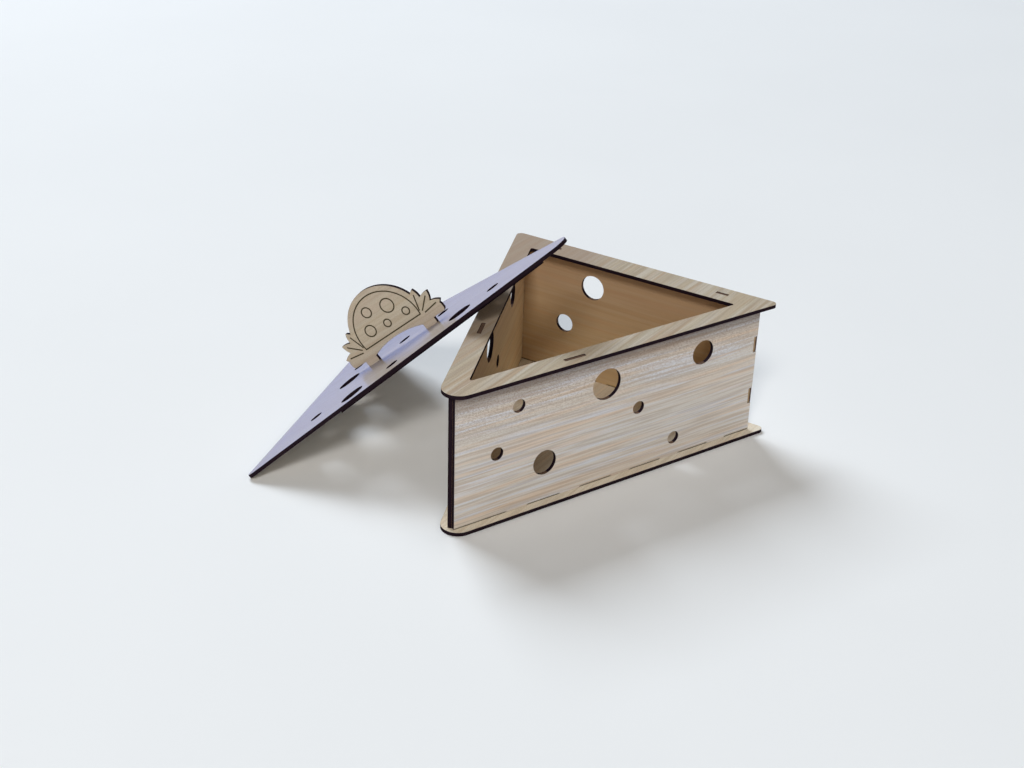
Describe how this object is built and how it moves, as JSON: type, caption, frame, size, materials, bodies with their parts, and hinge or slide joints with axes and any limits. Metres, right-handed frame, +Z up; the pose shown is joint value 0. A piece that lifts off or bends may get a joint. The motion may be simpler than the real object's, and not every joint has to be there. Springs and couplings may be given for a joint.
{
  "type": "wedge gift box",
  "caption": "Cheese-wedge gift box of laser-cut plywood with round holes, open at the top, its loose lid with a cut-out ornament leaned on its side.",
  "frame": {"origin": "on the underside of the base plate, at the middle of its wedge", "axes": "+X from the wedge's point to its back, +Z up, +Y to the far side, where the lid leans"},
  "size_m": [0.2823, 0.3325, 0.1696],
  "materials": {
    "ply_base": "sanded pale plywood, laser-burnt edges",
    "ply_frame": "sanded pale plywood, laser-burnt edges",
    "ply_wall": "sanded pale plywood, laser-burnt edges",
    "ply_lid": "pale plywood with a satin sheen, laser-burnt edges",
    "ply_strip": "plywood strip, laser-burnt edges",
    "ply_ornament": "plywood with engraved lines, laser-burnt edges"
  },
  "bodies": {
    "box": {"base_plate": "ply_base", "top_frame": "ply_frame", "side_wall_near": "ply_wall", "side_wall_far": "ply_wall", "back_wall": "ply_wall"},
    "lid": {"lid_plate": "ply_lid", "lid_strip_near": "ply_strip", "lid_strip_far": "ply_strip", "lid_strip_back": "ply_strip", "lid_ornament": "ply_ornament"}
  },
  "joints": [
    {"name": "lid_lift", "type": "slide", "parent": "box", "child": "lid", "axis": [0, 0, 1], "range_m": [0, 0.12]}
  ]
}
